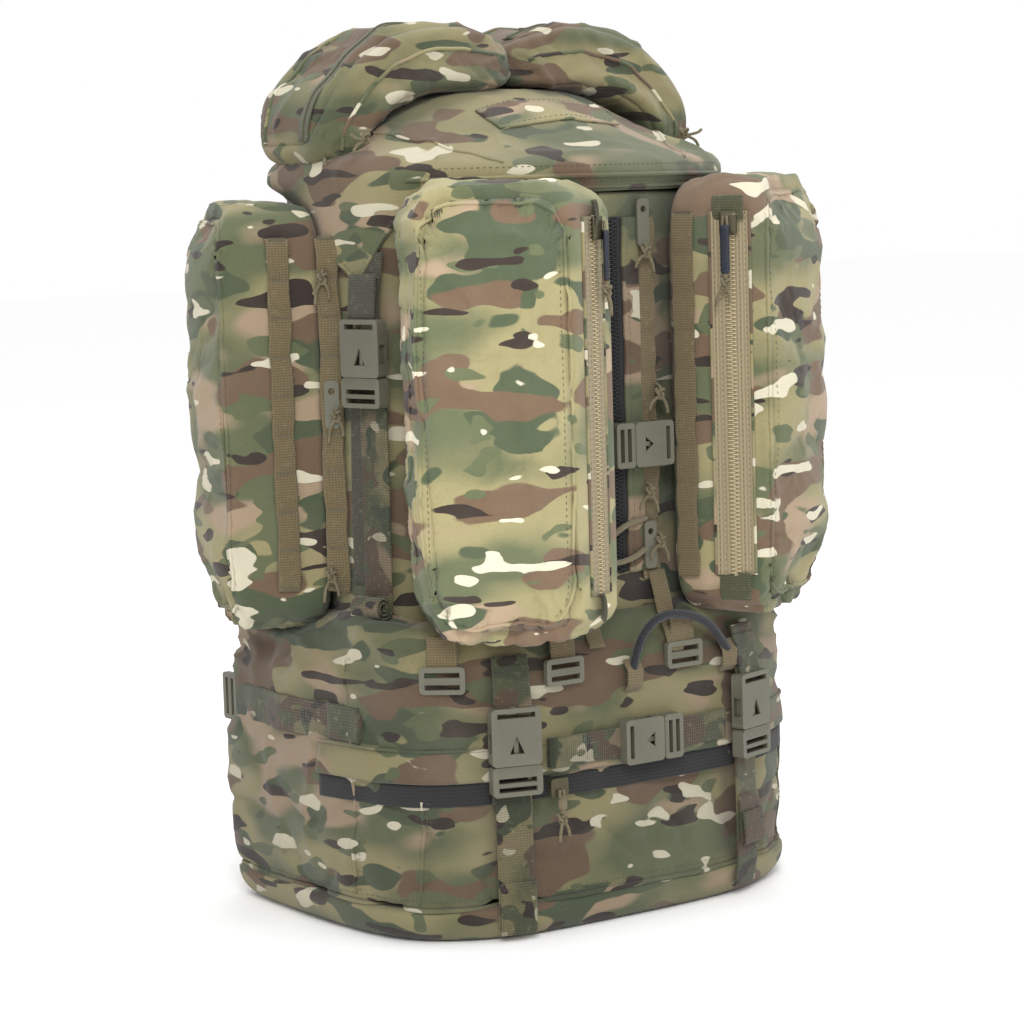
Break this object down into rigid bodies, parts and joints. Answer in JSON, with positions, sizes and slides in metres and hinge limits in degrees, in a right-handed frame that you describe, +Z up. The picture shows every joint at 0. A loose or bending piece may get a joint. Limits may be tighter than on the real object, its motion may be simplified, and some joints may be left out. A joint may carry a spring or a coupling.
{
  "type": "hunting backpack",
  "caption": "Upright hunting backpack with a lower bag, a hollow main compartment, stand-off side and front pouches, a lifting lid, buckles, zips and a padded carrying harness.",
  "frame": {"origin": "centre of the flat base, on the ground", "axes": "+Z up, -Y towards the pouch side, +Y towards the wearer, +X to the right of a viewer facing the pouches"},
  "size_m": [0.447, 0.3888, 0.605],
  "materials": {
    "camo_fabric": "woven nylon with a printed green, tan and brown pattern",
    "coyote_webbing": "ribbed narrow webbing",
    "camo_webbing": "woven patterned webbing",
    "buckle_plastic": "moulded grey-green acetal",
    "zip_tape": "beige tape with a nylon coil",
    "zip_black": "black tape with a nylon coil",
    "slider_metal": "black enamel",
    "pull_sleeve": "blue-black shrink sleeve on cord",
    "mesh_padding": "dark spacer mesh over foam",
    "bungee": "black braided shock cord",
    "frame_plastic": "black polyethylene sheet",
    "stay_metal": "satin bar"
  },
  "bodies": {
    "pack": {"attachment_strips": "buckle_plastic", "back_pads": "mesh_padding", "base_panel": "camo_fabric", "bungee_cord": "bungee", "compartment_divider": "camo_fabric", "cross_buckle_sockets": "buckle_plastic", "cross_straps": "camo_webbing", "daisy_chains": "coyote_webbing", "frame_sheet": "frame_plastic", "frame_stays": "stay_metal", "front_panel": "camo_fabric", "front_panel_zip": "zip_black", "left_panel": "camo_fabric", "lower_bag": "camo_fabric", "lower_buckle_sockets": "buckle_plastic", "lower_zip": "zip_black", "lumbar_pad": "mesh_padding", "pouch_front_left": "camo_fabric", "pouch_front_right": "camo_fabric", "pouch_side_left": "camo_fabric", "pouch_side_right": "camo_fabric", "pouch_zips": "zip_tape", "rear_panel": "camo_fabric", "right_panel": "camo_fabric", "shoulder_strap_left": "mesh_padding", "shoulder_strap_right": "mesh_padding", "shoulder_webbing": "coyote_webbing", "side_strap_glides": "buckle_plastic", "side_strap_keepers": "coyote_webbing", "side_straps": "camo_webbing", "strap_adjusters": "buckle_plastic", "strap_runs": "camo_webbing"},
    "lid": {"lid_top": "camo_fabric", "lid_flaps": "camo_fabric", "lid_pouch_left": "camo_fabric", "lid_pouch_right": "camo_fabric", "id_flap": "camo_fabric", "lid_rear_strap": "camo_webbing", "lid_strap_tabs": "camo_webbing", "lid_buckle_sockets": "buckle_plastic"},
    "lid_prongs_left": {"lid_buckle_prongs_left": "buckle_plastic"},
    "lid_prongs_right": {"lid_buckle_prongs_right": "buckle_plastic"},
    "lower_prongs_left": {"lower_buckle_prongs_left": "buckle_plastic"},
    "lower_prongs_right": {"lower_buckle_prongs_right": "buckle_plastic"},
    "centre_prongs": {"centre_buckle_prongs": "buckle_plastic"},
    "cross_prongs": {"cross_buckle_prongs": "buckle_plastic"},
    "zip_slider_left": {"pouch_slider_left": "slider_metal"},
    "zip_slider_right": {"pouch_slider_right": "slider_metal"},
    "zip_pull_left": {"pouch_pull_left": "pull_sleeve"},
    "zip_pull_right": {"pouch_pull_right": "pull_sleeve"},
    "lower_zip_slider": {"lower_slider": "slider_metal"},
    "lower_zip_pull": {"lower_pull": "pull_sleeve"},
    "haul_handle": {"haul_loop": "coyote_webbing"},
    "belt_left": {"hip_wing_left": "mesh_padding", "hip_buckle_socket": "buckle_plastic"},
    "belt_right": {"hip_wing_right": "mesh_padding", "hip_buckle_prongs": "buckle_plastic"},
    "sternum": {"sternum_strap": "coyote_webbing", "sternum_socket": "buckle_plastic"},
    "sternum_tongue": {"sternum_prongs": "buckle_plastic"}
  },
  "joints": [
    {"name": "lid_lift", "type": "slide", "parent": "pack", "child": "lid", "axis": [0, 0, 1], "range_m": [0, 0.15]},
    {"name": "lid_buckle_left_release", "type": "slide", "parent": "pack", "child": "lid_prongs_left", "axis": [0, 0, -1], "range_m": [0, 0.026]},
    {"name": "lid_buckle_right_release", "type": "slide", "parent": "pack", "child": "lid_prongs_right", "axis": [0, 0, -1], "range_m": [0, 0.026]},
    {"name": "lower_buckle_left_release", "type": "slide", "parent": "pack", "child": "lower_prongs_left", "axis": [0, 0, -1], "range_m": [0, 0.026]},
    {"name": "lower_buckle_right_release", "type": "slide", "parent": "pack", "child": "lower_prongs_right", "axis": [0, 0, -1], "range_m": [0, 0.026]},
    {"name": "centre_buckle_release", "type": "slide", "parent": "pack", "child": "centre_prongs", "axis": [-1, 0, 0], "range_m": [0, 0.02]},
    {"name": "cross_buckle_release", "type": "slide", "parent": "pack", "child": "cross_prongs", "axis": [1, 0, 0], "range_m": [0, 0.02]},
    {"name": "pouch_zip_left", "type": "slide", "parent": "pack", "child": "zip_slider_left", "axis": [0, 0, -1], "range_m": [0, 0.225]},
    {"name": "pouch_zip_right", "type": "slide", "parent": "pack", "child": "zip_slider_right", "axis": [0, 0, -1], "range_m": [0, 0.225]},
    {"name": "lower_zip_run", "type": "slide", "parent": "pack", "child": "lower_zip_slider", "axis": [1, 0, 0], "range_m": [0, 0.138]},
    {"name": "pouch_pull_left_swing", "type": "hinge", "parent": "zip_slider_left", "child": "zip_pull_left", "pos_m": [-0.04574, -0.17834, 0.47], "axis": [-0.5, -0.866, 0], "range_deg": [0, 110]},
    {"name": "pouch_pull_right_swing", "type": "hinge", "parent": "zip_slider_right", "child": "zip_pull_right", "pos_m": [0.05786, -0.17134, 0.47], "axis": [-0.5, 0.866, 0], "range_deg": [0, 110]},
    {"name": "lower_pull_swing", "type": "hinge", "parent": "lower_zip_slider", "child": "lower_zip_pull", "pos_m": [-0.07, -0.14748, 0.1], "axis": [-1, 0, 0], "range_deg": [0, 110]},
    {"name": "haul_loop_fold", "type": "hinge", "parent": "pack", "child": "haul_handle", "pos_m": [0, 0.1305, 0.468], "axis": [-1, 0, 0], "range_deg": [0, 90]},
    {"name": "hip_belt_left_swing", "type": "hinge", "parent": "pack", "child": "belt_left", "pos_m": [-0.134, 0.151, 0.143], "axis": [0, 0, 1], "range_deg": [0, 170]},
    {"name": "hip_belt_right_swing", "type": "hinge", "parent": "pack", "child": "belt_right", "pos_m": [0.134, 0.151, 0.143], "axis": [0, 0, -1], "range_deg": [0, 170]},
    {"name": "sternum_height", "type": "slide", "parent": "pack", "child": "sternum", "axis": [0, 0, 1], "range_m": [-0.035, 0.035]},
    {"name": "sternum_buckle_release", "type": "slide", "parent": "sternum", "child": "sternum_tongue", "axis": [1, 0, 0], "range_m": [0, 0.019]}
  ]
}
